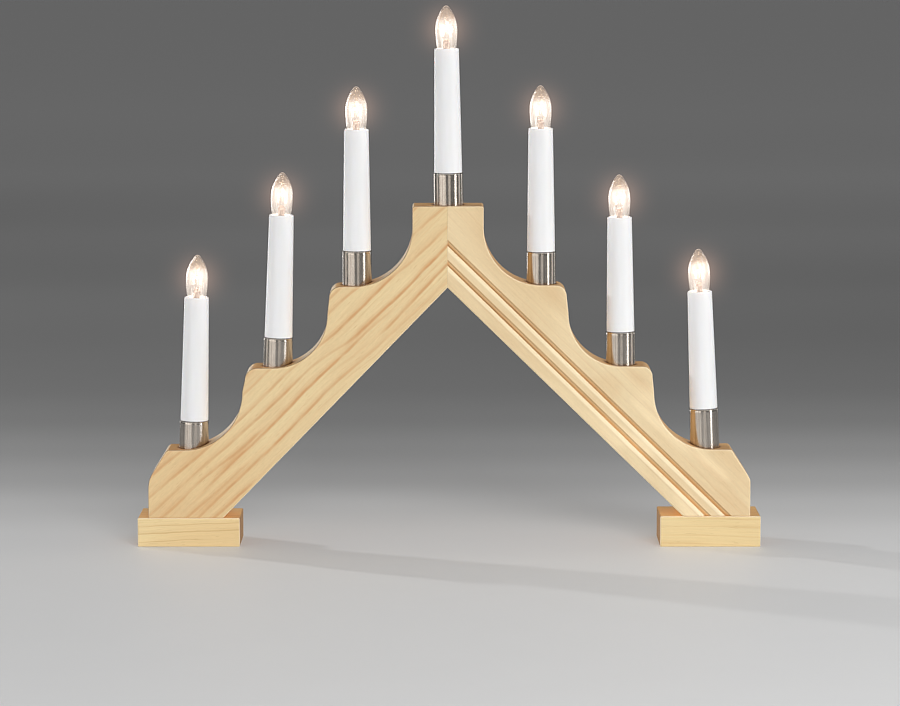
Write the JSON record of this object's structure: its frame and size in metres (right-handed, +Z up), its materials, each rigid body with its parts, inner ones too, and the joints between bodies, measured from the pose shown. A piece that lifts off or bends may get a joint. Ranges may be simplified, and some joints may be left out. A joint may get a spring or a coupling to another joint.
{
  "type": "window candlestick",
  "caption": "Stepped wooden candle arch with two mitred arms on block feet, metal sleeves, white electric candles and screw-in flame bulbs.",
  "frame": {"origin": "on the floor under the middle of the object, between the two feet", "axes": "+X to the viewer's right along the arch, -Y the front that faces the viewer, +Z up"},
  "size_m": [0.4, 0.038, 0.3459],
  "materials": {
    "pine_left": "clear satin lacquer, bold straight grain",
    "pine_right": "clear satin lacquer, fine pale grain",
    "pine_foot": "clear satin lacquer",
    "beech": "raw",
    "brushed_nickel": "brushed, satin",
    "white_plastic": "satin moulded",
    "socket_plastic": "moulded",
    "solder": "dull solder",
    "clear_glass": "clear, lit",
    "cap_metal": "rolled thread",
    "filament": "glass stem with a glowing coil",
    "cable": "white insulated lead",
    "zinc_steel": "yellow zinc plated"
  },
  "bodies": {
    "stand": {"left_arm": "pine_left", "right_arm": "pine_right", "left_foot": "pine_foot", "right_foot": "pine_foot", "mitre_dowel": "beech", "foot_screw_left_1": "zinc_steel", "foot_screw_left_2": "zinc_steel", "foot_screw_right_1": "zinc_steel", "foot_screw_right_2": "zinc_steel", "wiring_left": "cable", "wiring_right": "cable", "sleeve_1": "brushed_nickel", "candle_tube_1": "white_plastic", "lamp_socket_1": "socket_plastic", "sleeve_2": "brushed_nickel", "candle_tube_2": "white_plastic", "lamp_socket_2": "socket_plastic", "sleeve_3": "brushed_nickel", "candle_tube_3": "white_plastic", "lamp_socket_3": "socket_plastic", "sleeve_4": "brushed_nickel", "candle_tube_4": "white_plastic", "lamp_socket_4": "socket_plastic", "sleeve_5": "brushed_nickel", "candle_tube_5": "white_plastic", "lamp_socket_5": "socket_plastic", "sleeve_6": "brushed_nickel", "candle_tube_6": "white_plastic", "lamp_socket_6": "socket_plastic", "sleeve_7": "brushed_nickel", "candle_tube_7": "white_plastic", "lamp_socket_7": "socket_plastic"},
    "bulb_1_carrier": {"bulb_contact_1": "solder"},
    "bulb_1": {"bulb_glass_1": "clear_glass", "bulb_cap_1": "cap_metal", "filament_1": "filament"},
    "bulb_2_carrier": {"bulb_contact_2": "solder"},
    "bulb_2": {"bulb_glass_2": "clear_glass", "bulb_cap_2": "cap_metal", "filament_2": "filament"},
    "bulb_3_carrier": {"bulb_contact_3": "solder"},
    "bulb_3": {"bulb_glass_3": "clear_glass", "bulb_cap_3": "cap_metal", "filament_3": "filament"},
    "bulb_4_carrier": {"bulb_contact_4": "solder"},
    "bulb_4": {"bulb_glass_4": "clear_glass", "bulb_cap_4": "cap_metal", "filament_4": "filament"},
    "bulb_5_carrier": {"bulb_contact_5": "solder"},
    "bulb_5": {"bulb_glass_5": "clear_glass", "bulb_cap_5": "cap_metal", "filament_5": "filament"},
    "bulb_6_carrier": {"bulb_contact_6": "solder"},
    "bulb_6": {"bulb_glass_6": "clear_glass", "bulb_cap_6": "cap_metal", "filament_6": "filament"},
    "bulb_7_carrier": {"bulb_contact_7": "solder"},
    "bulb_7": {"bulb_glass_7": "clear_glass", "bulb_cap_7": "cap_metal", "filament_7": "filament"}
  },
  "joints": [
    {"name": "bulb_1_lift", "type": "slide", "parent": "stand", "child": "bulb_1_carrier", "axis": [0.0279, 0, 0.9996], "range_m": [0, 0.00726]},
    {"name": "bulb_1_turn", "type": "hinge", "parent": "bulb_1_carrier", "child": "bulb_1", "pos_m": [-0.16168, -0.0045, 0.15997], "axis": [0.0279, 0, 0.9996], "range_deg": [0, 1440]},
    {"name": "bulb_2_lift", "type": "slide", "parent": "stand", "child": "bulb_2_carrier", "axis": [0.0305, 0, 0.9995], "range_m": [0, 0.00726]},
    {"name": "bulb_2_turn", "type": "hinge", "parent": "bulb_2_carrier", "child": "bulb_2", "pos_m": [-0.10705, -0.0045, 0.21276], "axis": [0.0305, 0, 0.9995], "range_deg": [0, 1440]},
    {"name": "bulb_3_lift", "type": "slide", "parent": "stand", "child": "bulb_3_carrier", "axis": [-0.0017, 0, 1], "range_m": [0, 0.00726]},
    {"name": "bulb_3_turn", "type": "hinge", "parent": "bulb_3_carrier", "child": "bulb_3", "pos_m": [-0.05903, -0.0045, 0.2674], "axis": [-0.0017, 0, 1], "range_deg": [0, 1440]},
    {"name": "bulb_4_lift", "type": "slide", "parent": "stand", "child": "bulb_4_carrier", "axis": [-0.0131, 0, 0.9999], "range_m": [0, 0.00726]},
    {"name": "bulb_4_turn", "type": "hinge", "parent": "bulb_4_carrier", "child": "bulb_4", "pos_m": [-0.00163, -0.0045, 0.31859], "axis": [-0.0131, 0, 0.9999], "range_deg": [0, 1440]},
    {"name": "bulb_5_lift", "type": "slide", "parent": "stand", "child": "bulb_5_carrier", "axis": [-0.007, 0, 1], "range_m": [0, 0.00726]},
    {"name": "bulb_5_turn", "type": "hinge", "parent": "bulb_5_carrier", "child": "bulb_5", "pos_m": [0.0582, -0.0045, 0.2681], "axis": [-0.007, 0, 1], "range_deg": [0, 1440]},
    {"name": "bulb_6_lift", "type": "slide", "parent": "stand", "child": "bulb_6_carrier", "axis": [-0.0148, 0, 0.9999], "range_m": [0, 0.00726]},
    {"name": "bulb_6_turn", "type": "hinge", "parent": "bulb_6_carrier", "child": "bulb_6", "pos_m": [0.10876, -0.0045, 0.21139], "axis": [-0.0148, 0, 0.9999], "range_deg": [0, 1440]},
    {"name": "bulb_7_lift", "type": "slide", "parent": "stand", "child": "bulb_7_carrier", "axis": [-0.0427, 0, 0.9991], "range_m": [0, 0.00726]},
    {"name": "bulb_7_turn", "type": "hinge", "parent": "bulb_7_carrier", "child": "bulb_7", "pos_m": [0.16038, -0.0045, 0.16383], "axis": [-0.0427, 0, 0.9991], "range_deg": [0, 1440]}
  ],
  "couplings": [
    {"joint": "bulb_1_lift", "follows": "bulb_1_turn", "m_per_rad": 0.0002887},
    {"joint": "bulb_2_lift", "follows": "bulb_2_turn", "m_per_rad": 0.0002887},
    {"joint": "bulb_3_lift", "follows": "bulb_3_turn", "m_per_rad": 0.0002887},
    {"joint": "bulb_4_lift", "follows": "bulb_4_turn", "m_per_rad": 0.0002887},
    {"joint": "bulb_5_lift", "follows": "bulb_5_turn", "m_per_rad": 0.0002887},
    {"joint": "bulb_6_lift", "follows": "bulb_6_turn", "m_per_rad": 0.0002887},
    {"joint": "bulb_7_lift", "follows": "bulb_7_turn", "m_per_rad": 0.0002887}
  ]
}
